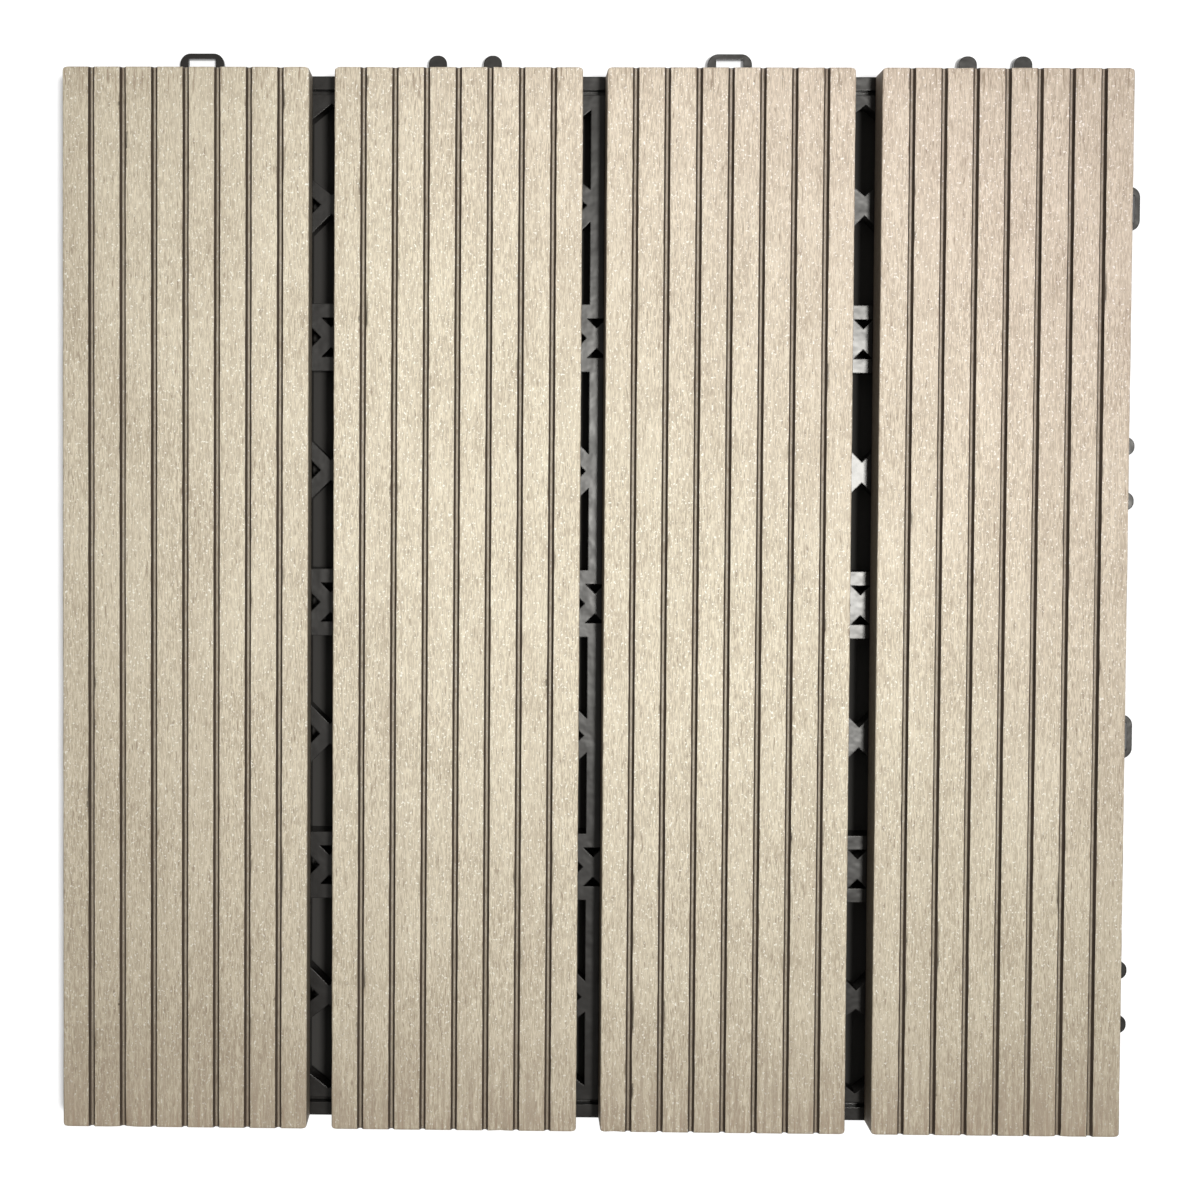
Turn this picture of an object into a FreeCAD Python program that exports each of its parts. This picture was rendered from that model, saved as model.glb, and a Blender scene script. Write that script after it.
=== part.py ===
import FreeCAD, Part
import Sketcher
import os
import sys

# Interlocking deck tile, in millimetres.
# Four grooved boards lie on a moulded grid and are held by screws from below.
# X runs across the boards, Y along them and Z up from the ground.
# Each piece is drawn about the centre of the deck, which its Placement then moves, so that
# the middle of the whole outline, connectors included, is the origin.

V = FreeCAD.Vector

sizes = {
    # Laying of one tile beside the next
    "tile_pitch": 300.0,
    # Boards
    "board_count": 4,
    "board_width": 69.6,
    "board_length": 298.0,
    "board_thickness": 12.0,
    "board_gap": 6.53,
    "arris_radius": 1.0,
    "groove_count": 7,
    "groove_pitch": 8.8,
    "groove_width": 1.7,
    "groove_floor": 1.2,
    "groove_depth": 1.4,
    "groove_lip": 0.3,
    "relief_width": 14.0,
    "relief_depth": 0.8,
    "relief_spacing": 35.0,
    # Outline of the grid
    "base_height": 10.0,
    "base_inset": 0.6,
    "rim_width": 3.75,
    # Pairs of rails below the gaps and across them
    "grid_rows": 4,
    "grid_module": 75.4,
    "grid_shift_x": 1.4,
    "grid_shift_y": -0.7,
    "rail_width": 4.0,
    "rail_spacing": 15.1,
    "rail_lift": 2.0,
    # Inner edge rail, parted from the rim by a seam
    "edge_rail_width": 2.5,
    "seam_width": 1.4,
    "seam_depth": 3.0,
    # Diagonal braces and the rib down the middle
    "brace_width": 4.0,
    "brace_overrun": 1.0,
    # Screws and their bosses
    "screw_length": 16.0,
    "screw_diameter": 3.5,
    "screw_point": 3.0,
    "head_diameter": 7.0,
    "head_height": 2.2,
    "boss_diameter": 12.0,
    "screw_clearance": 0.25,
    "pilot_clearance": 0.1,
    # Connectors that stand out on two sides
    "connector_lift": 0.6,
    "connector_thickness": 2.6,
    "connector_root": 1.5,
    "loop_side_wall": 2.4,
    "loop_end_wall": 1.5,
    "loop_corner": 3.0,
    "prong_width": 5.2,
    "prong_spacing": 15.7,
    "prong_reach": 7.1,
    "prong_corner": 2.4,
    # Recesses that take them on the other two sides
    "recess_height": 3.8,
    "recess_clearance": 0.5,
    "tongue_width": 7.2,
    "tongue_thickness": 2.6,
    "tongue_clearance": 0.3,
    "keeper_clearance": 0.4,
}

# Lengths that follow from the sizes above
derived = {
    "board_pitch": "Sizes.board_width + Sizes.board_gap",
    "deck_half_x": "(Sizes.board_count * Layout.board_pitch - Sizes.board_gap) / 2",
    "deck_half_y": "Sizes.board_length / 2",
    "base_half_x": "Layout.deck_half_x - Sizes.base_inset",
    "base_half_y": "Layout.deck_half_y - Sizes.base_inset",
    "border_half_x": "Layout.base_half_x - Sizes.rim_width - Sizes.seam_width",
    "border_half_y": "Layout.base_half_y - Sizes.rim_width - Sizes.seam_width",
    "node_pitch": "Sizes.grid_module / 2",
    "outer_node_x": "(Sizes.board_count - 1) * Layout.node_pitch",
    "outer_node_y": "(Sizes.grid_rows - 1) * Layout.node_pitch",
    "outer_pair_x": "(Sizes.board_count - 2) * Layout.node_pitch",
    "outer_pair_y": "(Sizes.grid_rows - 2) * Layout.node_pitch",
    "slot_length": "Sizes.tongue_thickness + 2 * Sizes.tongue_clearance",
    "slot_width": "Sizes.tongue_width + 2 * Sizes.tongue_clearance",
    "loop_width": "Layout.slot_width + 2 * Sizes.loop_side_wall",
    "loop_reach": "Layout.slot_length + Sizes.loop_end_wall - Sizes.tongue_clearance",
    "loop_tip_x": "Sizes.tile_pitch - Layout.base_half_x + Layout.loop_reach",
    "loop_tip_y": "Sizes.tile_pitch - Layout.base_half_y + Layout.loop_reach",
    "keeper_half": "(Sizes.prong_spacing - Sizes.prong_width) / 2 - Sizes.keeper_clearance",
    "shift_x": "(Layout.deck_half_x - Layout.loop_tip_x) / 2",
    "shift_y": "(Layout.deck_half_y - Layout.loop_tip_y) / 2",
}

# Each side has its own axes: the first points outward, the second runs along the edge and
# starts at the middle of the grid. Connectors stand out on two sides and fit under the others.
sides = {
    "right": {"turn": 0, "start": ("0", "Sizes.grid_shift_y"), "way": "y"},
    "back": {"turn": 90, "start": ("Sizes.grid_shift_x", "0"), "way": "x"},
    "left": {"turn": 180, "start": ("0", "Sizes.grid_shift_y"), "way": "y"},
    "front": {"turn": 270, "start": ("Sizes.grid_shift_x", "0"), "way": "x"},
}

doc = FreeCAD.newDocument("DeckTile")
sheet = doc.addObject("Spreadsheet::Sheet", "Sizes")
for row, (name, value) in enumerate(sizes.items(), start=1):
    sheet.set("A%d" % row, str(value))
    sheet.setAlias("A%d" % row, name)
doc.recompute()
layout = doc.addObject("App::VarSet", "Layout")
for name in derived:
    layout.addProperty("App::PropertyFloat", name, "Derived")
for name, rule in derived.items():
    layout.setExpression(name, rule)
doc.recompute()


def new_body(node, place_x, place_y, place_z):
    body = doc.addObject("PartDesign::Body", node + "_body")
    body.Label = node
    body.setExpression("Placement.Base.x", place_x)
    body.setExpression("Placement.Base.y", place_y)
    body.setExpression("Placement.Base.z", place_z)
    return body


def origin_part(body, role):
    return [part for part in body.Origin.OriginFeatures if part.Role == role][0]


def new_sketch(body, name, plane="XY_Plane", base=("0", "0", "0"), turn="0"):
    sketch = body.newObject("Sketcher::SketchObject", name)
    sketch.AttachmentSupport = [(origin_part(body, plane), "")]
    sketch.MapMode = "FlatFace"
    sketch.AttachmentOffset = FreeCAD.Placement(V(), FreeCAD.Rotation(V(0, 0, 1), 1))
    for axis, rule in zip("xyz", base):
        sketch.setExpression("AttachmentOffset.Base." + axis, rule)
    sketch.setExpression("AttachmentOffset.Rotation.Angle", turn)
    return sketch


def number(sketch, rule):
    value = sketch.evalExpression(rule)
    return float(getattr(value, "Value", value))


def hold(sketch, kind, items, rule):
    index = sketch.addConstraint(Sketcher.Constraint(kind, *items, number(sketch, rule)))
    sketch.setExpression("Constraints[%d]" % index, rule)


# A closed outline, drawn counterclockwise through the corners (x, y) or (x, y, radius), each
# number a rule. A corner with a radius is a right angle between sides along the axes.
def add_outline(sketch, corners):
    spots = [V(number(sketch, corner[0]), number(sketch, corner[1]), 0) for corner in corners]
    pieces = []
    for i, corner in enumerate(corners):
        if len(corner) == 2:
            pieces.append((corner, None, spots[i]))
            continue
        for other, radius in ((spots[i - 1], corner[2]), (spots[(i + 1) % len(spots)], None)):
            way = (other - spots[i]).normalize()
            start = tuple("%s + (%d) * %s" % (corner[k], round(way[k]), corner[2]) for k in (0, 1))
            pieces.append((start, radius, spots[i]))
    first = sketch.GeometryCount
    for i, (start, radius, spot) in enumerate(pieces):
        end = pieces[(i + 1) % len(pieces)][0]
        a = V(number(sketch, start[0]), number(sketch, start[1]), 0)
        b = V(number(sketch, end[0]), number(sketch, end[1]), 0)
        if radius is None:
            sketch.addGeometry(Part.LineSegment(a, b), False)
        else:
            centre = a + b - spot
            middle = centre + (spot - centre).normalize() * number(sketch, radius)
            sketch.addGeometry(Part.Arc(a, middle, b), False)
    for i, (start, radius, spot) in enumerate(pieces):
        here = first + i
        after = first + (i + 1) % len(pieces)
        sketch.addConstraint(Sketcher.Constraint("Coincident", here, 2, after, 1))
        hold(sketch, "DistanceX", (-1, 1, here, 1), start[0])
        hold(sketch, "DistanceY", (-1, 1, here, 1), start[1])
        if radius is not None:
            hold(sketch, "Radius", (here,), radius)


def add_rectangle(sketch, x0, y0, x1, y1):
    add_outline(sketch, [(x0, y0), (x1, y0), (x1, y1), (x0, y1)])


def add_circle(sketch, x, y, radius):
    spot = V(number(sketch, x), number(sketch, y), 0)
    index = sketch.addGeometry(Part.Circle(spot, V(0, 0, 1), number(sketch, radius)), False)
    hold(sketch, "DistanceX", (-1, 1, index, 3), x)
    hold(sketch, "DistanceY", (-1, 1, index, 3), y)
    hold(sketch, "Radius", (index,), radius)


def pad(body, name, sketch, length, both_ways=False):
    feature = body.newObject("PartDesign::Pad", name)
    feature.Profile = sketch
    feature.Midplane = both_ways
    feature.setExpression("Length", length)
    return feature


# A cut has to take something away, so its direction is set by name and its volume checked.
def pocket(body, name, sketch, length, reversed_way=False, both_ways=False):
    before = body.Tip
    feature = body.newObject("PartDesign::Pocket", name)
    feature.Profile = sketch
    feature.Reversed = reversed_way
    feature.Midplane = both_ways
    feature.setExpression("Length", length)
    doc.recompute()
    check_cut(before, feature)
    return feature


def check_cut(before, feature):
    if feature.Shape.Volume > before.Shape.Volume - 0.01:
        sys.exit(feature.Name + " cuts nothing")


# Copies of features in one row, or in rows along two axes.
def pattern(body, name, originals, steps):
    feature = body.newObject("PartDesign::LinearPattern", name)
    feature.Originals = originals
    for suffix, (axis, count, spacing) in zip(("", "2"), steps):
        setattr(feature, "Direction" + suffix, (origin_part(body, axis), [""]))
        setattr(feature, "Mode" + suffix, "Spacing")
        feature.setExpression("Occurrences" + suffix, count)
        feature.setExpression("Offset" + suffix, spacing)
    body.Tip = feature
    return feature


# Boards

def board_middle(index):
    return "(%d * Layout.board_pitch - Layout.deck_half_x + Sizes.board_width / 2)" % index


def make_board(index):
    node = "board_%d" % (index + 1)
    body = new_body(node, "Layout.shift_x + " + board_middle(index), "Layout.shift_y", "Sizes.base_height")
    section = new_sketch(body, node + "_section", plane="XZ_Plane")
    half = "Sizes.board_width / 2"
    top = "Sizes.board_thickness"
    inner = "(Sizes.relief_spacing - Sizes.relief_width) / 2"
    outer = "(Sizes.relief_spacing + Sizes.relief_width) / 2"
    deep = "Sizes.relief_depth"
    add_outline(section, [
        ("-" + half, "0"),
        ("-" + outer, "0"), ("-" + outer, deep), ("-" + inner, deep), ("-" + inner, "0"),
        (inner, "0"), (inner, deep), (outer, deep), (outer, "0"),
        (half, "0"),
        (half, top, "Sizes.arris_radius"),
        ("-" + half, top, "Sizes.arris_radius"),
    ])
    pad(body, node + "_plank", section, "Sizes.board_length", both_ways=True)
    doc.recompute()
    cut_grooves(body, node)
    cut_pilot_holes(body, node, index)
    return body


def cut_grooves(body, node):
    groove = new_sketch(body, node + "_groove", plane="XZ_Plane")
    first = "(Sizes.groove_count - 1) * Sizes.groove_pitch / 2"
    top = "Sizes.board_thickness"
    floor = "(Sizes.board_thickness - Sizes.groove_depth)"
    lip = "(Sizes.groove_width / 2 + Sizes.groove_lip)"
    add_outline(groove, [
        ("-%s - %s" % (first, lip), top),
        ("-%s - Sizes.groove_width / 2" % first, top + " - Sizes.groove_lip"),
        ("-%s - Sizes.groove_floor / 2" % first, floor),
        ("-%s + Sizes.groove_floor / 2" % first, floor),
        ("-%s + Sizes.groove_width / 2" % first, top + " - Sizes.groove_lip"),
        ("-%s + %s" % (first, lip), top),
    ])
    cut = pocket(body, node + "_groove_cut", groove, "Sizes.board_length", both_ways=True)
    pattern(body, node + "_grooves", [cut], [("X_Axis", "Sizes.groove_count", "Sizes.groove_pitch")])
    doc.recompute()


def cut_pilot_holes(body, node, index):
    hole = new_sketch(body, node + "_pilot")
    node_x = "%d * Sizes.grid_module - Layout.outer_node_x + Sizes.grid_shift_x" % index
    place = "%s - %s" % (node_x, board_middle(index))
    add_circle(hole, place, "Sizes.grid_shift_y - Layout.outer_node_y",
               "Sizes.screw_diameter / 2 + Sizes.pilot_clearance")
    depth = "Sizes.rail_lift + Sizes.screw_length - Sizes.base_height + Sizes.pilot_clearance"
    cut = pocket(body, node + "_pilot_cut", hole, depth, reversed_way=True)
    pattern(body, node + "_pilots", [cut], [("Y_Axis", "Sizes.grid_rows", "Sizes.grid_module")])
    doc.recompute()


# Plan of the grid, made of flat strips

# A strip of a given width runs from one point to another, and an overrun past both.
def add_strip(name, x0, y0, x1, y1, width, overrun="0"):
    strip = doc.addObject("Part::Plane", name)
    across = "(%s - (%s))" % (x1, x0)
    along = "(%s - (%s))" % (y1, y0)
    turn = "atan2(%s; %s)" % (along, across)
    strip.Placement = FreeCAD.Placement(V(), FreeCAD.Rotation(V(0, 0, 1), 1))
    strip.setExpression("Placement.Rotation.Angle", turn)
    corner_x = "%s - %s * cos(%s) + %s / 2 * sin(%s)" % (x0, overrun, turn, width, turn)
    corner_y = "%s - %s * sin(%s) - %s / 2 * cos(%s)" % (y0, overrun, turn, width, turn)
    strip.setExpression("Placement.Base.x", corner_x)
    strip.setExpression("Placement.Base.y", corner_y)
    strip.setExpression("Length", "sqrt(%s ^ 2 + %s ^ 2) + 2 * %s" % (across, along, overrun))
    strip.setExpression("Width", width)
    return strip


# Nodes lie half a module apart, the outermost ones on the border.
def node_line(way, count):
    last = sizes[count] - 1
    inner = ["(Sizes.grid_shift_%s + (%d) * Layout.node_pitch)" % (way, i) for i in range(-last, last + 1)]
    border = "Layout.border_half_" + way
    return ["-" + border] + inner + [border]


# The border reaches from the middle of the rim to the inside of the edge rail.
def border_strips():
    width = "(Sizes.rim_width / 2 + Sizes.seam_width + Sizes.edge_rail_width)"
    x = "(Layout.border_half_x - Sizes.edge_rail_width + %s / 2)" % width
    y = "(Layout.border_half_y - Sizes.edge_rail_width + %s / 2)" % width
    corners = [("-" + x, "-" + y), (x, "-" + y), (x, y), ("-" + x, y)]
    return [
        add_strip("border_%d" % (i + 1), *corner, *corners[(i + 1) % 4], width, width + " / 2")
        for i, corner in enumerate(corners)
    ]


# Two rails run side by side below each gap between boards, and as many cross them.
def rail_strips():
    strips = []
    for way, count in (("x", "board_count"), ("y", "grid_rows")):
        for i in range(sizes[count] - 1):
            for side in ("-", "+"):
                middle = "%d * Sizes.grid_module - Layout.outer_pair_%s" % (i, way)
                place = "(Sizes.grid_shift_%s + %s %s Sizes.rail_spacing / 2)" % (way, middle, side)
                if way == "x":
                    start, end = (place, "-Layout.border_half_y"), (place, "Layout.border_half_y")
                else:
                    start, end = ("-Layout.border_half_x", place), ("Layout.border_half_x", place)
                strips.append(add_strip("rail_%s_%d" % (way, len(strips)), *start, *end, "Sizes.rail_width"))
    return strips


# Braces run both ways through the nodes. They bend where the last cells are narrower.
def brace_strips():
    xs = node_line("x", "board_count")
    ys = node_line("y", "grid_rows")
    strips = []
    for family, rows in (("rise", ys), ("fall", ys[::-1])):
        for shift in range(2 - len(rows), len(xs) - 1):
            nodes = [(xs[i], rows[i - shift]) for i in range(len(xs)) if 0 <= i - shift < len(rows)]
            bends = sorted({0, 1, len(nodes) - 2, len(nodes) - 1})
            for start, end in zip(bends, bends[1:]):
                name = "%s_%d" % (family, len(strips))
                strips.append(add_strip(name, *nodes[start], *nodes[end], "Sizes.brace_width",
                                        "Sizes.brace_overrun"))
    return strips


# Ribs run down the middle, left out where the crossing rails make a small square.
def rib_strips():
    x = "Sizes.grid_shift_x"
    y = "Sizes.grid_shift_y - Layout.outer_pair_y"
    strips = []
    for i in range(sizes["grid_rows"]):
        start = "(%s + %d * Sizes.grid_module + Sizes.rail_spacing / 2)" % (y, i - 1)
        end = "(%s + %d * Sizes.grid_module - Sizes.rail_spacing / 2)" % (y, i)
        if i == 0:
            start = "(-Layout.border_half_y)"
        if i == sizes["grid_rows"] - 1:
            end = "Layout.border_half_y"
        strips.append(add_strip("rib_%d" % i, x, start, x, end, "Sizes.brace_width"))
    return strips


def screw_places():
    for i in range(sizes["board_count"]):
        for j in range(sizes["grid_rows"]):
            x = "Sizes.grid_shift_x + %d * Sizes.grid_module - Layout.outer_node_x" % i
            y = "Sizes.grid_shift_y + %d * Sizes.grid_module - Layout.outer_node_y" % j
            yield "%d_%d" % (i + 1, j + 1), x, y


# A round boss stands at each screw.
def boss_rings():
    rings = []
    for name, x, y in screw_places():
        ring = doc.addObject("Part::Circle", "boss_" + name)
        ring.setExpression("Placement.Base.x", x)
        ring.setExpression("Placement.Base.y", y)
        ring.setExpression("Radius", "Sizes.boss_diameter / 2")
        rings.append(ring)
    return rings


# Strips and bosses become one flat face with a hole for each opening of the grid.
def merge_plan(strips, rings):
    doc.recompute()
    shapes = [strip.Shape for strip in strips] + [Part.Face(Part.Wire(ring.Shape.Edges)) for ring in rings]
    plan = doc.addObject("Part::Feature", "grid_plan")
    plan.Shape = shapes[0].multiFuse(shapes[1:]).removeSplitter()
    return plan


# Solids of the grid

def extrude(name, outline, length):
    solid = doc.addObject("Part::Extrusion", name)
    solid.Base = outline
    solid.DirMode = "Custom"
    solid.Dir = V(0, 0, 1)
    solid.Solid = True
    solid.setExpression("LengthFwd", length)
    return solid


def join(name, shapes):
    whole = doc.addObject("Part::MultiFuse", name)
    whole.Shapes = shapes
    whole.Refine = True
    return whole


# A sketch that lies flat at a height, turned about a point of the deck
def flat_sketch(name, height, start=("0", "0"), turn=0):
    sketch = doc.addObject("Sketcher::SketchObject", name)
    sketch.Placement = FreeCAD.Placement(V(), FreeCAD.Rotation(V(0, 0, 1), turn))
    for axis, rule in zip("xyz", (*start, height)):
        sketch.setExpression("Placement.Base." + axis, rule)
    return sketch


def make_base_grid():
    plan = merge_plan(border_strips() + rail_strips() + brace_strips() + rib_strips(), boss_rings())
    lattice = extrude("lattice", plan, "Sizes.base_height - Sizes.rail_lift")
    lattice.setExpression("Placement.Base.z", "Sizes.rail_lift")
    solids = [lattice, rim(), feet()]
    cuts = [seam()]
    for side in ("right", "back"):
        solids.append(connectors(side))
    for side in ("left", "front"):
        cuts.append(receivers(side))
    base = doc.addObject("Part::Cut", "base_grid_cut")
    base.Label = "base_grid"
    base.Base = join("grid_solid", solids)
    base.Tool = join("grid_cuts", cuts + screw_holes())
    base.Refine = True
    base.setExpression("Placement.Base.x", "Layout.shift_x")
    base.setExpression("Placement.Base.y", "Layout.shift_y")
    return base


def add_frame(sketch, half, outer_inset, inner_inset):
    for inset in (outer_inset, inner_inset):
        x = "(%s_x - %s)" % (half, inset)
        y = "(%s_y - %s)" % (half, inset)
        add_rectangle(sketch, "-" + x, "-" + y, x, y)


# The rim reaches the ground. Everything inside it but the feet stays clear of the ground.
def rim():
    outline = flat_sketch("rim_outline", "0")
    add_frame(outline, "Layout.base_half", "0", "Sizes.rim_width")
    return extrude("rim", outline, "Sizes.base_height")


# A narrow seam parts the rim from the edge rail at the top.
def seam():
    outline = flat_sketch("seam_outline", "Sizes.base_height - Sizes.seam_depth")
    add_frame(outline, "Layout.base_half", "Sizes.rim_width", "(Sizes.rim_width + Sizes.seam_width)")
    return extrude("seam", outline, "Sizes.seam_depth")


# Square feet where the pairs of rails cross
def feet():
    outline = flat_sketch("foot_outline", "0", ("Sizes.grid_shift_x", "Sizes.grid_shift_y"))
    for i in range(sizes["board_count"] - 1):
        for j in range(sizes["grid_rows"] - 1):
            x = "(%d * Sizes.grid_module - Layout.outer_pair_x)" % i
            y = "(%d * Sizes.grid_module - Layout.outer_pair_y)" % j
            for side in ("+", "-"):
                reach = "(Sizes.rail_spacing %s Sizes.rail_width) / 2" % side
                add_rectangle(outline, "%s - %s" % (x, reach), "%s - %s" % (y, reach),
                              "%s + %s" % (x, reach), "%s + %s" % (y, reach))
    return extrude("feet", outline, "Sizes.rail_lift")


def add_round(kind, name, place, height, **radii):
    solid = doc.addObject(kind, name)
    for axis, rule in zip("xyz", place):
        solid.setExpression("Placement.Base." + axis, rule)
    solid.setExpression("Height", height)
    for field, rule in radii.items():
        solid.setExpression(field, rule)
    return solid


# Each screw passes a clear hole with a countersink that its head seats in, entered from below.
def screw_holes():
    holes = []
    for name, x, y in screw_places():
        seat = (x, y, "Sizes.rail_lift")
        holes.append(add_round("Part::Cone", "countersink_" + name, seat, "Sizes.head_height",
                               Radius1="Sizes.head_diameter / 2", Radius2="Sizes.screw_diameter / 2"))
        depth = "Sizes.base_height - Sizes.rail_lift"
        holes.append(add_round("Part::Cylinder", "clear_hole_" + name, seat, depth,
                               Radius="Sizes.screw_diameter / 2 + Sizes.screw_clearance"))
    return holes


# Connectors

def along(side):
    return sides[side]["way"]


def across(side):
    return {"x": "y", "y": "x"}[along(side)]


def side_sketch(name, side, height):
    return flat_sketch(name + side, height, sides[side]["start"], sides[side]["turn"])


# Connectors of a kind repeat at every second module along their side.
def repeat_places(side, first):
    count = {"x": "board_count", "y": "grid_rows"}[along(side)]
    for i in range(sizes[count] // 2):
        yield "(%d * Sizes.grid_module - Layout.outer_node_%s)" % (2 * i + first, along(side))


# Loops take the tongues of the next tile, and pairs of prongs hold it in line.
def connectors(side):
    sketch = side_sketch("connectors_", side, "Sizes.connector_lift")
    rim_face = "Layout.base_half_" + across(side)
    root = "%s - Sizes.rim_width - Sizes.connector_root" % rim_face
    for middle in repeat_places(side, 1):
        add_loop(sketch, middle, root, rim_face, "Layout.loop_tip_" + across(side))
    for middle in repeat_places(side, 0):
        for way in ("-", "+"):
            add_prong(sketch, "(%s %s Sizes.prong_spacing / 2)" % (middle, way), root, rim_face)
    return extrude("connector_solids_" + side, sketch, "Sizes.connector_thickness")


def add_loop(sketch, middle, root, rim_face, tip):
    low = middle + " - Layout.loop_width / 2"
    high = middle + " + Layout.loop_width / 2"
    add_outline(sketch, [
        (root, low),
        (tip, low, "Sizes.loop_corner"),
        (tip, high, "Sizes.loop_corner"),
        (root, high),
    ])
    slot = "Sizes.tile_pitch - %s - Sizes.tongue_clearance" % rim_face
    add_rectangle(sketch, slot, middle + " - Layout.slot_width / 2",
                  slot + " + Layout.slot_length", middle + " + Layout.slot_width / 2")


def add_prong(sketch, middle, root, rim_face):
    tip = rim_face + " + Sizes.prong_reach"
    low = middle + " - Sizes.prong_width / 2"
    high = middle + " + Sizes.prong_width / 2"
    add_outline(sketch, [
        (root, low),
        (tip, low, "Sizes.prong_corner"),
        (tip, high, "Sizes.prong_corner"),
        (root, high),
    ])


# Recesses under the rim leave a tongue standing for each loop and a keeper between prongs.
def receivers(side):
    sketch = side_sketch("receivers_", side, "0")
    rim_face = "Layout.base_half_" + across(side)
    for middle in repeat_places(side, 0):
        add_loop_recess(sketch, middle, rim_face, "Layout.loop_tip_" + across(side))
    for middle in repeat_places(side, 1):
        add_prong_recesses(sketch, middle, rim_face)
    return extrude("receiver_cuts_" + side, sketch, "Sizes.recess_height")


def add_loop_recess(sketch, middle, rim_face, tip):
    half = "(Layout.loop_width / 2 + Sizes.recess_clearance)"
    tongue = "Sizes.tongue_width / 2"
    inside = "Sizes.tile_pitch - %s - Sizes.recess_clearance" % tip
    outside = rim_face + " + Sizes.recess_clearance"
    behind = rim_face + " - Sizes.tongue_thickness"
    add_outline(sketch, [
        (inside, middle + " - " + half),
        (outside, middle + " - " + half),
        (outside, middle + " - " + tongue),
        (behind, middle + " - " + tongue),
        (behind, middle + " + " + tongue),
        (outside, middle + " + " + tongue),
        (outside, middle + " + " + half),
        (inside, middle + " + " + half),
    ])


def add_prong_recesses(sketch, middle, rim_face):
    outer = "((Sizes.prong_spacing + Sizes.prong_width) / 2 + Sizes.recess_clearance)"
    inside = "Sizes.tile_pitch - %s - Sizes.prong_reach - Sizes.recess_clearance" % rim_face
    outside = rim_face + " + Sizes.recess_clearance"
    add_rectangle(sketch, inside, middle + " - " + outer, outside, middle + " - Layout.keeper_half")
    add_rectangle(sketch, inside, middle + " + Layout.keeper_half", outside, middle + " + " + outer)


# Screws, driven up through the bosses into the boards

def make_screws():
    pieces = []
    for name, x, y in screw_places():
        bottom = "Sizes.rail_lift"
        shank = bottom + " + Sizes.head_height"
        point = bottom + " + Sizes.screw_length - Sizes.screw_point"
        radius = "Sizes.screw_diameter / 2"
        pieces.append(add_round("Part::Cone", "screw_head_" + name, (x, y, bottom), "Sizes.head_height",
                                Radius1="Sizes.head_diameter / 2", Radius2=radius))
        pieces.append(add_round("Part::Cylinder", "screw_shank_" + name, (x, y, shank),
                                "Sizes.screw_length - Sizes.screw_point - Sizes.head_height", Radius=radius))
        pieces.append(add_round("Part::Cone", "screw_point_" + name, (x, y, point), "Sizes.screw_point",
                                Radius1=radius, Radius2="0"))
    screws = join("screw_set", pieces)
    screws.Label = "screws"
    screws.setExpression("Placement.Base.x", "Layout.shift_x")
    screws.setExpression("Placement.Base.y", "Layout.shift_y")
    return screws


pieces = [make_board(index) for index in range(sizes["board_count"])]
pieces.append(make_screws())
pieces.append(make_base_grid())
doc.recompute()

for item in doc.Objects:
    if "Invalid" in item.State or "Error" in item.State:
        sys.exit("%s failed: %s" % (item.Name, item.State))
for piece in pieces:
    if piece.Shape.isNull() or not piece.Shape.isValid():
        sys.exit(piece.Label + " has no valid shape")
    print(piece.Label, len(piece.Shape.Solids), "solids", round(piece.Shape.Volume), "mm3")

os.makedirs("parts", exist_ok=True)
for piece in pieces:
    piece.Shape.exportStep("parts/%s.step" % piece.Label)
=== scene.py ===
import math

import bpy
import numpy as np
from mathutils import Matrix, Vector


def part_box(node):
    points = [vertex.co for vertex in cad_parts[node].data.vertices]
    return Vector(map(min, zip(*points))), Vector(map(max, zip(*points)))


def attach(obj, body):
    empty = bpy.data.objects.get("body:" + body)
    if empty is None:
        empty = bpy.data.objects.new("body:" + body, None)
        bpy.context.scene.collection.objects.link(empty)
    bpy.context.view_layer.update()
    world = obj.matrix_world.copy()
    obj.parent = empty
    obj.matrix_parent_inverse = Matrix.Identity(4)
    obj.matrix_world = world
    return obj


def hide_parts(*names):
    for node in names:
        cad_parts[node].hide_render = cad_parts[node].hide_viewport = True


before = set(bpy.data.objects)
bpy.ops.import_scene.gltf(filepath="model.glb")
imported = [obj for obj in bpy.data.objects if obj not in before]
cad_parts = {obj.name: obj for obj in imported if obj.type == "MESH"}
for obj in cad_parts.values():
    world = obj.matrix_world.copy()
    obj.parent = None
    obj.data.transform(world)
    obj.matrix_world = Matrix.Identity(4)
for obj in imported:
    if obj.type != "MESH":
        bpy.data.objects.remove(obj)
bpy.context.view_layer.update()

# Deck tile seen from above, in metres: X across the boards, Y along them, Z up.

boardNames = ["board_1", "board_2", "board_3", "board_4"]
mm = 0.001


# Boards

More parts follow.
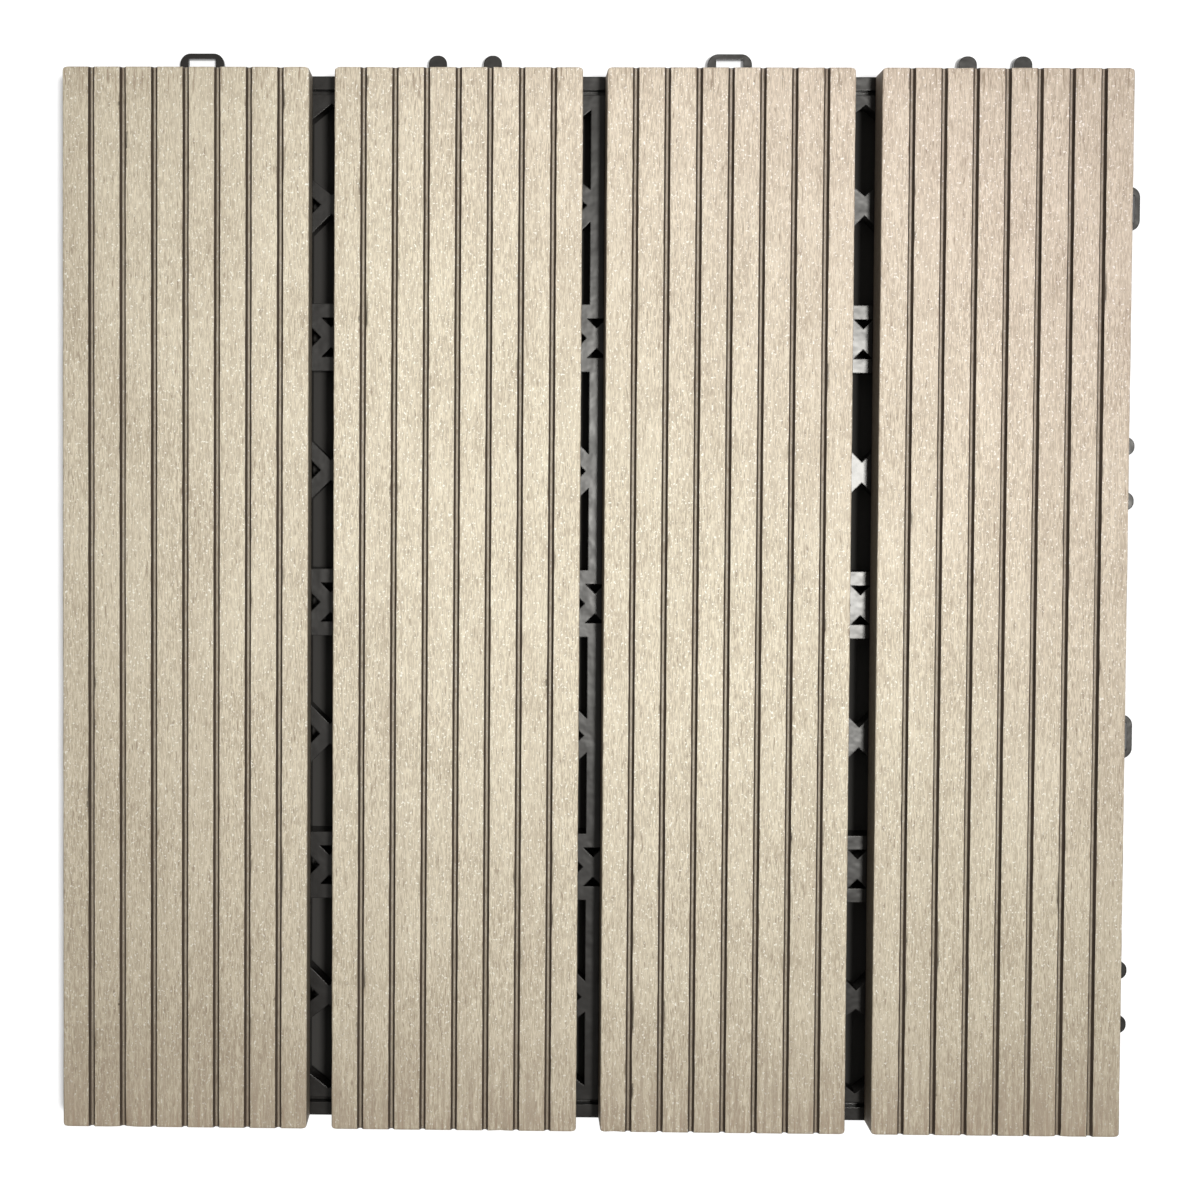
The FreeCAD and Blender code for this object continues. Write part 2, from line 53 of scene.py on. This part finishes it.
board = {
    "grooves": 7,
    "groove pitch": 8.8 * mm,
    "groove width": 1.7 * mm,
    "groove floor": 0.7 * mm,
    "groove depth": 1.4 * mm,
    "floor sag": 0.02 * mm,
    "rim radius": 0.12 * mm,
    "floor radius": 0.12 * mm,
    "arris radius": 0.5 * mm,
    "foot radius": 0.6 * mm,
    # First and last angle of each rounding, in degrees, 0 to the right and 90 up
    "rim arc": (90, 5),
    "floor arc": (185, 265),
    "arris arc": (175, 95),
    "foot arc": (250, 190),
    "foot points": 3,
    "side points": 4,
    "crown sink": 0.04 * mm,
    "crown steps": (0.12, 0.3, 0.5, 0.7, 0.88),
    # Painted shade at the points round the section: 0 shows the board's colour, 1 the full painted
    # shade of a groove wall
    "rim darkness": (0.0, 0.1, 0.5, 1.0, 1.0),
    "floor darkness": (1.0, 0.9, 0.7, 0.55),
    "middle darkness": 0.4,
    "arris darkness": (0.6, 0.5, 0.3, 0.1, 0.0, 0.0),
    "outside darkness": 0.6,
    # Two shallow channels beneath
    "relief width": 14 * mm,
    "relief depth": 0.8 * mm,
    "relief spacing": 35 * mm,
    # Ends and corners
    "end radius": 0.35 * mm,
    "corner radius": 1.1 * mm,
    "corner reach": 5 * mm,
    # Waver of the rims and unevenness of the top: size, steps along and across, seed
    "top reach": 2 * mm,
    "wave": 0.07 * mm,
    "wave steps": (6 * mm, 2.2 * mm),
    "wave seed": 40,
    "unevenness": 0.03 * mm,
    "unevenness steps": (1.6 * mm, 1.6 * mm),
    "unevenness seed": 50,
    "column spacing": 0.9 * mm,
    # Rings of points along the board, closer together towards the ends
    "stations": 300,
    "crowding": 1.25,
    # What each board is narrower than its place by, on the left and on the right
    "trims": {
        "board_1": (0.7 * mm, 0.0),
        "board_2": (0.5 * mm, 0.1 * mm),
        "board_3": (0.1 * mm, 0.8 * mm),
        "board_4": (0.0, 0.2 * mm),
    },
    # Chips lost from the ends: place across the board, end (1 back, -1 front), radius, depth
    "chips": {
        "board_1": [
            (-17 * mm, -1, 2.2 * mm, 0.7 * mm),
            (26.5 * mm, 1, 1.6 * mm, 0.5 * mm),
        ],
        "board_2": [
            (-18.5 * mm, 1, 2.0 * mm, 0.8 * mm),
            (13 * mm, -1, 1.5 * mm, 0.5 * mm),
        ],
        "board_3": [
            (22 * mm, 1, 1.4 * mm, 0.4 * mm),
            (-30.5 * mm, -1, 1.8 * mm, 0.6 * mm),
        ],
        "board_4": [
            (-13.5 * mm, 1, 3.2 * mm, 0.6 * mm),
            (-2 * mm, 1, 2.6 * mm, 0.5 * mm),
            (18 * mm, -1, 1.6 * mm, 0.5 * mm),
        ],
    },
}


# Smooth noise from -1 to 1 on a grid of points. Knots a step apart get random values. Between
# knots the value is low x (1 - a) + high x a, where a is the share of the way from one knot to
# the next, eased to 3 x square - 2 x cube, first across and then along.
def smoothNoise(seed, alongs, acrosses, steps):
    alongStep, acrossStep = steps
    rng = np.random.default_rng(seed)
    rows = max(int(np.ptp(alongs) / alongStep) + 4, 4)
    columns = max(int(np.ptp(acrosses) / acrossStep) + 4, 4)
    knots = rng.uniform(-1, 1, (rows, columns))
    u = (alongs - alongs.min()) / alongStep + 1
    v = (acrosses - acrosses.min()) / acrossStep + 1
    i, j = u.astype(int), v.astype(int)
    a, b = u - i, v - j
    a, b = a * a * (3 - 2 * a), b * b * (3 - 2 * b)
    a, b = a[:, None], b[None, :]
    low = knots[i][:, j] * (1 - b) + knots[i][:, j + 1] * b
    high = knots[i + 1][:, j] * (1 - b) + knots[i + 1][:, j + 1] * b
    return low * (1 - a) + high * a


# Points on a circle: centre + radius x cosine across, centre + radius x sine up.
def arc(x, z, radius, angles, count):
    turns = np.radians(np.linspace(angles[0], angles[1], count))
    return [(x + radius * math.cos(a), z + radius * math.sin(a)) for a in turns]


# One groove from left to right: crisp rims, leaning walls and a nearly flat floor.
# The left half is an arc at the rim and an arc at the floor, each a little short of a quarter
# turn, and the right half is its mirror image. Each point is (across, up, darkness).
def grooveCurve(top):
    rim, floor = board["rim radius"], board["floor radius"]
    half, low = board["groove width"] / 2, board["groove floor"] / 2
    bottom = top - board["groove depth"]
    rimShades, floorShades = board["rim darkness"], board["floor darkness"]
    rounding = arc(-half - rim, top - rim, rim, board["rim arc"], len(rimShades))
    foot = arc(-low + floor, bottom + floor, floor, board["floor arc"], len(floorShades))
    left = [(x, z, dark) for (x, z), dark in zip(rounding, rimShades)]
    left += [(x, z, dark) for (x, z), dark in zip(foot, floorShades)]
    right = [(-x, z, dark) for x, z, dark in reversed(left)]
    return left + [(0.0, bottom - board["floor sag"], board["middle darkness"])] + right


# Ribs are crowned between two grooves: the top less the sink x the square of how far a point is
# from the rib's middle, where 1 is the rib's edge.
def crownPoints(start, end, top):
    sink = board["crown sink"]
    return [(start + (end - start) * step, top - sink * (2 * step - 1) ** 2, 0.0)
            for step in board["crown steps"]]


# The section is a closed loop: up the left side, across the grooved top, down the right side,
# which mirrors the left, and back beneath with its two channels.
# Its columns are across, up and darkness.
def boardSection(width, bottom, top):
    half, foot, arris = width / 2, board["foot radius"], board["arris radius"]
    pitch, count, outside = board["groove pitch"], board["grooves"], board["outside darkness"]
    parts = board["side points"] + 1
    side = arc(-half + foot, bottom + foot, foot, board["foot arc"], board["foot points"])
    side += [(-half, bottom + (top - bottom) * k / parts) for k in range(1, parts)]
    points = [(x, z, outside) for x, z in side]
    shades = board["arris darkness"]
    corner = arc(-half + arris, top - arris, arris, board["arris arc"], len(shades))
    points += [(x, z, dark) for (x, z), dark in zip(corner, shades)]
    last = -half + arris
    for k in range(count):
        middle = (k - (count - 1) / 2) * pitch
        curve = [(middle + x, z, dark) for x, z, dark in grooveCurve(top)]
        points += crownPoints(last, curve[0][0], top) + curve
        last = curve[-1][0]
    points += crownPoints(last, half - arris, top)
    points += [(-x, z, dark) for x, z, dark in reversed(points[:len(side) + len(corner)])]
    inner = (board["relief spacing"] - board["relief width"]) / 2
    outer = (board["relief spacing"] + board["relief width"]) / 2
    deep = bottom + board["relief depth"]
    for a, b in ((outer, inner), (-inner, -outer)):
        points += [(a, bottom, outside), (a, deep, outside), (b, deep, outside), (b, bottom, outside)]
    return np.array(points)


# Fall of a rounded edge: the radius less the root of radius squared - gap squared, where gap is
# how far inside the rounding a point lies.
def roundedAway(distance, radius):
    gap = np.clip(radius - distance, 0, radius)
    return radius - np.sqrt(np.maximum(radius ** 2 - gap ** 2, 0))


# A board is its section carried along Y, as a grid of stations by points round the section.
# Stations lie at half the length x (1 - (1 - t) to the power of the crowding), where t goes from
# 0 at the middle to 1 at each end.
def addBoard(index):
    name = boardNames[index]
    low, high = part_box(name)
    left, right = board["trims"][name]
    width, middle = high.x - low.x - left - right, (low.x + high.x + left - right) / 2
    section = boardSection(width, low.z, high.z)
    half, length = width / 2, high.y - low.y
    count, stations = len(section), board["stations"]
    spread = np.linspace(-1, 1, stations)
    ys = np.sign(spread) * (1 - (1 - np.abs(spread)) ** board["crowding"]) * length / 2
    toEnd = length / 2 - np.abs(ys)
    columns = np.arange(count) * board["column spacing"]
    x = np.repeat(section[None, :, 0], stations, 0)
    z = np.repeat(section[None, :, 1], stations, 0)
    y = np.repeat(ys[:, None], count, 1)

    # Rims waver along the board, and the whole top is slightly uneven.
    reach = board["top reach"]
    nearTop = np.clip((section[:, 1] - high.z + reach) / reach, 0, 1)[None, :]
    waver = smoothNoise(board["wave seed"] + index, ys, columns, board["wave steps"])
    x += board["wave"] * nearTop * waver
    uneven = smoothNoise(board["unevenness seed"] + index, ys, columns, board["unevenness steps"])
    z -= board["unevenness"] * nearTop * (1 + uneven)

    # Ends are sawn flat and rounded a little, corners pull in, and chips are lost from the ends.
    # A chip is its depth x e to the power of minus its distance squared over its radius squared.
    z -= roundedAway(toEnd, board["end radius"])[:, None] * nearTop
    outside = np.maximum(np.abs(x) - half + board["corner reach"], 0)
    squeeze = roundedAway(toEnd, board["corner radius"])[:, None] / board["corner reach"]
    x -= np.sign(x) * outside * squeeze
    for place, end, radius, depth in board["chips"][name]:
        far = ((x - place) / radius) ** 2 + ((y - end * length / 2) / radius) ** 2
        z -= depth * np.exp(-far) * nearTop
    x += middle
    y += (low.y + high.y) / 2

    # Four-sided faces between stations, and one flat face at each end
    vertices = np.stack([x, y, z], -1).reshape(-1, 3)
    vertices = np.clip(vertices, np.array(low), np.array(high))
    i, j = np.meshgrid(np.arange(stations - 1), np.arange(count), indexing="ij")
    here, after = i * count + j, i * count + (j + 1) % count
    quads = np.stack([here, after, after + count, here + count], -1).reshape(-1, 4)
    firstRing = np.arange(count)
    caps = [firstRing[::-1].tolist(), (firstRing + (stations - 1) * count).tolist()]
    mesh = bpy.data.meshes.new("boardSurface%d" % (index + 1))
    mesh.from_pydata(vertices.tolist(), [], quads.tolist() + caps)
    mesh.polygons.foreach_set("use_smooth", [True] * len(quads) + [False] * len(caps))
    mesh.update()
    dark = mesh.attributes.new("painted shade", "FLOAT", "POINT")
    dark.data.foreach_set("value", np.tile(section[:, 2], stations).astype(np.float32))
    piece = bpy.data.objects.new("grooved_board_%d" % (index + 1), mesh)
    bpy.context.scene.collection.objects.link(piece)
    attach(piece, "root")
    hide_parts(name)
    return piece


# Building blocks of the materials

def newMaterial(name):
    material = bpy.data.materials.new(name)
    material.use_nodes = True
    tree = material.node_tree
    return material, tree, tree.nodes["Principled BSDF"]


def coordinates(tree, scale=(1, 1, 1)):
    source = tree.nodes.new("ShaderNodeTexCoord")
    mapping = tree.nodes.new("ShaderNodeMapping")
    mapping.inputs["Scale"].default_value = scale
    tree.links.new(source.outputs["Object"], mapping.inputs["Vector"])
    return mapping.outputs["Vector"]


def addNoise(tree, scale, detail, roughness):
    noise = tree.nodes.new("ShaderNodeTexNoise")
    noise.inputs["Scale"].default_value = 1.0  # the scale is in the coordinates
    noise.inputs["Detail"].default_value = detail
    noise.inputs["Roughness"].default_value = roughness
    tree.links.new(coordinates(tree, scale), noise.inputs["Vector"])
    return noise.outputs["Fac"]


# Turns a value that goes from low to high into one that goes from toLow to toHigh
def remap(tree, value, low, high, toLow=0.0, toHigh=1.0):
    node = tree.nodes.new("ShaderNodeMapRange")
    node.inputs["From Min"].default_value = low
    node.inputs["From Max"].default_value = high
    node.inputs["To Min"].default_value = toLow
    node.inputs["To Max"].default_value = toHigh
    tree.links.new(value, node.inputs["Value"])
    return node.outputs["Result"]


def mixColours(tree, factor, first, second, blend="MIX"):
    node = tree.nodes.new("ShaderNodeMix")
    node.data_type = "RGBA"
    node.blend_type = blend
    sockets = (node.inputs[0], node.inputs[6], node.inputs[7])  # factor and the two colours
    for socket, value in zip(sockets, (factor, first, second)):
        if isinstance(value, (tuple, float)):
            socket.default_value = value
        else:
            tree.links.new(value, socket)
    return node.outputs[2]  # the mixed colour


def calculate(tree, operation, first, second=0.0):
    node = tree.nodes.new("ShaderNodeMath")
    node.operation = operation
    for socket, value in zip(node.inputs, (first, second)):
        if isinstance(value, float):
            socket.default_value = value
        else:
            tree.links.new(value, socket)
    return node.outputs[0]


def addBump(tree, shader, height, strength, distance):
    bump = tree.nodes.new("ShaderNodeBump")
    bump.inputs["Strength"].default_value = strength
    bump.inputs["Distance"].default_value = distance
    tree.links.new(height, bump.inputs["Height"])
    tree.links.new(bump.outputs["Normal"], shader.inputs["Normal"])
    return bump


boardLook = {
    "body": (0.680, 0.595, 0.447, 1),
    "light": (0.900, 0.820, 0.640, 1),
    "dark": (0.460, 0.380, 0.275, 1),
    "speck": (1.000, 0.970, 0.860, 1),
    "fibre": (0.305, 0.230, 0.160, 1),
    # Painted shade: the colour that the grooves, arrises and sides are darkened towards
    "painted shade colour": (0.085, 0.062, 0.044, 1),
    "pink": (0.95, 0.895, 0.935, 1),
    # Painted light: the boards are multiplied by this away from the bright spot, a painted pool of
    # light
    "painted_falloff": (0.56, 0.54, 0.515, 1),
    "stain": (0.290, 0.225, 0.160, 1),
    # Noises: scale across, along and up, then detail and roughness
    "noises": {
        "streaks": ((3300, 430, 3300), 3.0, 0.65),
        "strands": ((1000, 45, 1000), 2.0, 0.5),
        "bands": ((170, 10, 170), 2.0, 0.5),
        "blotches": ((55, 35, 55), 2.0, 0.5),
        "grains": ((1900, 1350, 1900), 1.0, 0.5),
        "fibres": ((2300, 300, 2300), 1.0, 0.4),
        "cracks": ((1500, 110, 1500), 1.0, 0.5),
    },
    "streak range": (0.41, 0.59),  # from dark to light
    "body share": 0.3,
    # Layers laid over that in turn: noise, where it starts, where it is full, least and most, colour
    "layers": [
        ("strands", (0.48, 0.32, 0.0, 0.25), "dark"),
        ("bands", (0.6, 0.35, 0.0, 0.2), "dark"),
        ("blotches", (0.35, 0.7, 0.0, 0.3), "light"),
        ("fibres", (0.34, 0.26, 0.0, 0.6), "fibre"),
        ("grains", (0.655, 0.695, 0.0, 1.0), "speck"),
    ],
    "pink range": (0.04, 0.22),  # X + Y, towards the back right corner
    "bright spot": (0.024, 0.058, 0.022),
    "worn range": (0.085, 0.25),  # distance from the bright spot
    "stain range": (-0.12, -0.15),  # Y, towards the front ends
    "stain strands": (0.6, 0.4, 0.1, 0.7),
    "middle": -3.5 * mm,
    "crack range": (0.136, 0.148),  # distance along from the middle
    "crack share": (0.40, 0.33, 0.0, 0.9),
    "roughness": 0.6,
    "specular level": 0.35,
    "bump strength": 0.6,
    "bump distance": 0.15 * mm,
}


# Fine streaks along the boards, with soft bands, cream specks and a few dark fibres. They are
# darker away from a bright spot as a painted pool of light, pinker towards one corner, stained
# along the front, cracked at the ends, and given painted shade in the grooves and on the sides.
def boardMaterial():
    look = boardLook
    material, tree, shader = newMaterial("boardComposite")
    noises = {name: addNoise(tree, *settings) for name, settings in look["noises"].items()}
    streaks = remap(tree, noises["streaks"], *look["streak range"])
    colour = mixColours(tree, streaks, look["dark"], look["light"])
    colour = mixColours(tree, look["body share"], colour, look["body"])
    for name, ranges, tint in look["layers"]:
        colour = mixColours(tree, remap(tree, noises[name], *ranges), colour, look[tint])

    place = tree.nodes.new("ShaderNodeSeparateXYZ")
    tree.links.new(coordinates(tree), place.inputs["Vector"])
    towardsCorner = calculate(tree, "ADD", place.outputs["X"], place.outputs["Y"])
    pinker = mixColours(tree, 1.0, colour, look["pink"], "MULTIPLY")
    colour = mixColours(tree, remap(tree, towardsCorner, *look["pink range"]), colour, pinker)
    # Painted light: a pool of light round the bright spot, the boards darker the farther from it
    distance = tree.nodes.new("ShaderNodeVectorMath")
    distance.operation = "DISTANCE"
    distance.inputs[1].default_value = look["bright spot"]
    tree.links.new(coordinates(tree), distance.inputs[0])
    darker = mixColours(tree, 1.0, colour, look["painted_falloff"], "MULTIPLY")
    painted_falloff = remap(tree, distance.outputs["Value"], *look["worn range"])
    colour = mixColours(tree, painted_falloff, colour, darker)

    stain = calculate(tree, "MULTIPLY", remap(tree, place.outputs["Y"], *look["stain range"]),
                      remap(tree, noises["strands"], *look["stain strands"]))
    colour = mixColours(tree, stain, colour, look["stain"])
    offset = calculate(tree, "SUBTRACT", place.outputs["Y"], look["middle"])
    fromMiddle = calculate(tree, "ABSOLUTE", offset)
    cracks = calculate(tree, "MULTIPLY", remap(tree, fromMiddle, *look["crack range"]),
                       remap(tree, noises["cracks"], *look["crack share"]))
    colour = mixColours(tree, cracks, colour, look["fibre"])
    # Painted shade: grooves, arrises and sides darkened towards the painted shade colour
    grooves = tree.nodes.new("ShaderNodeAttribute")
    grooves.attribute_name = "painted shade"
    colour = mixColours(tree, grooves.outputs["Fac"], colour, look["painted shade colour"])

    tree.links.new(colour, shader.inputs["Base Color"])
    shader.inputs["Roughness"].default_value = look["roughness"]
    shader.inputs["Specular IOR Level"].default_value = look["specular level"]
    height = calculate(tree, "ADD", noises["streaks"], noises["grains"])
    addBump(tree, shader, height, look["bump strength"], look["bump distance"])
    return material


gridLook = {
    "colour": (0.011, 0.0095, 0.0085, 1),
    "roughness": 0.26,
    "specular level": 0.29,
    "specular tint": (1.0, 0.98, 0.93, 1),
    "skin": ((190, 190, 190), 2.0, 0.5),  # noise scale, detail and roughness
    "skin strength": 0.35,
    "skin depth": 0.3 * mm,
    "edge radius": 0.35 * mm,
    "edge samples": 4,
}


# Black moulded plastic with soft edges and a faintly uneven skin
def gridMaterial():
    look = gridLook
    material, tree, shader = newMaterial("gridPlastic")
    shader.inputs["Base Color"].default_value = look["colour"]
    shader.inputs["Roughness"].default_value = look["roughness"]
    shader.inputs["Specular IOR Level"].default_value = look["specular level"]
    shader.inputs["Specular Tint"].default_value = look["specular tint"]
    skin = addNoise(tree, *look["skin"])
    bump = addBump(tree, shader, skin, look["skin strength"], look["skin depth"])
    bevel = tree.nodes.new("ShaderNodeBevel")
    bevel.samples = look["edge samples"]
    bevel.inputs["Radius"].default_value = look["edge radius"]
    tree.links.new(bevel.outputs["Normal"], bump.inputs["Normal"])
    return material


screwLook = {
    "colour": (0.62, 0.61, 0.58, 1),
    "metallic": 1.0,
    "roughness": 0.32,
}


def screwMaterial():
    material, tree, shader = newMaterial("screwSteel")
    shader.inputs["Base Color"].default_value = screwLook["colour"]
    shader.inputs["Metallic"].default_value = screwLook["metallic"]
    shader.inputs["Roughness"].default_value = screwLook["roughness"]
    return material


def dress(piece, material):
    piece.data.materials.clear()
    piece.data.materials.append(material)


# Floor, light and camera

stage = {
    "floor half": 3.0,
    "floor colour": (0.88, 0.88, 0.88, 1),
    "floor roughness": 0.9,
    "backdrop colour": (1, 1, 1, 1),
    "backdrop glow": 0.22,
    # Painted shade: a dark patch of floor under the tile
    "shade colour": (0.040, 0.037, 0.033, 1),
    "shade middle": -3.5 * mm,
    "shade half": 148 * mm,
    "shade fade": 3 * mm,
    # Lamps point at the tile: place, diameter and watts
    "key lamp": ((0.46, 0.02, 2.6), 0.30, 54.0),
    "soft lamp": ((-0.2, 0.35, 1.9), 2.4, 7.8),
    "sky colour": (1, 0.99, 0.97, 1),
    "sky strength": 0.18,
}


# The floor glows for the camera and in reflections only, so that it shows as plain white, and
# not over the patch of painted shade under the tile.
def addFloor():
    half = stage["floor half"]
    corners = [(-half, -half, 0), (half, -half, 0), (half, half, 0), (-half, half, 0)]
    mesh = bpy.data.meshes.new("floorPlane")
    mesh.from_pydata(corners, [], [(0, 1, 2, 3)])
    floor = bpy.data.objects.new("floor", mesh)
    bpy.context.scene.collection.objects.link(floor)
    material, tree, shader = newMaterial("floorPaint")
    place = tree.nodes.new("ShaderNodeSeparateXYZ")
    tree.links.new(coordinates(tree), place.inputs["Vector"])
    offsets = [calculate(tree, "SUBTRACT", place.outputs[axis], stage["shade middle"])
               for axis in ("X", "Y")]
    reach = calculate(tree, "MAXIMUM", *[calculate(tree, "ABSOLUTE", value) for value in offsets])
    # Painted shade: the mask of the dark patch under the tile
    under = remap(tree, reach, stage["shade half"], stage["shade half"] - stage["shade fade"])
    colour = mixColours(tree, under, stage["floor colour"], stage["shade colour"])
    tree.links.new(colour, shader.inputs["Base Color"])
    rays = tree.nodes.new("ShaderNodeLightPath")
    seen = calculate(tree, "MAXIMUM", rays.outputs["Is Camera Ray"], rays.outputs["Is Glossy Ray"])
    seen = calculate(tree, "MAXIMUM", seen, rays.outputs["Is Transmission Ray"])
    strength = remap(tree, under, 0.0, 1.0, stage["backdrop glow"], 0.0)
    glow = calculate(tree, "MULTIPLY", seen, strength)
    tree.links.new(glow, shader.inputs["Emission Strength"])
    shader.inputs["Emission Color"].default_value = stage["backdrop colour"]
    shader.inputs["Roughness"].default_value = stage["floor roughness"]
    dress(floor, material)


def addLamp(name, place, size, watts):
    lamp = bpy.data.lights.new(name, "AREA")
    lamp.shape = "DISK"
    lamp.size = size
    lamp.energy = watts
    holder = bpy.data.objects.new(name, lamp)
    holder.location = place
    holder.rotation_euler = (-holder.location).to_track_quat("-Z", "Y").to_euler()
    bpy.context.scene.collection.objects.link(holder)


def addSky():
    world = bpy.data.worlds.new("sky")
    world.use_nodes = True
    background = world.node_tree.nodes["Background"]
    background.inputs["Color"].default_value = stage["sky colour"]
    background.inputs["Strength"].default_value = stage["sky strength"]
    bpy.context.scene.world = world


# Turn is in degrees, lens and sensor in millimetres, and shift in widths of the picture
camera = {
    "place": (-0.03076, 0.03476, 0.64542),
    "turn": (-1.946, 1.105, 0.279),
    "lens": 66.97,
    "sensor": 36,
    "shift": (0.1235, -0.0482),
}


def addCamera():
    data = bpy.data.cameras.new("photoCamera")
    data.sensor_width = camera["sensor"]
    data.lens = camera["lens"]
    data.shift_x, data.shift_y = camera["shift"]
    holder = bpy.data.objects.new("photoCamera", data)
    holder.location = camera["place"]
    holder.rotation_euler = [math.radians(angle) for angle in camera["turn"]]
    bpy.context.scene.collection.objects.link(holder)
    bpy.context.scene.camera = holder


boardFinish = boardMaterial()
for index in range(len(boardNames)):
    dress(addBoard(index), boardFinish)
print("boards made")
dress(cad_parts["base_grid"], gridMaterial())
dress(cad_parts["screws"], screwMaterial())
print("grid and screws painted")
addFloor()
addLamp("keyLight", *stage["key lamp"])
addLamp("softLight", *stage["soft lamp"])
addSky()
addCamera()
bpy.context.scene.view_settings.view_transform = "Standard"
print("floor, lights and camera set")
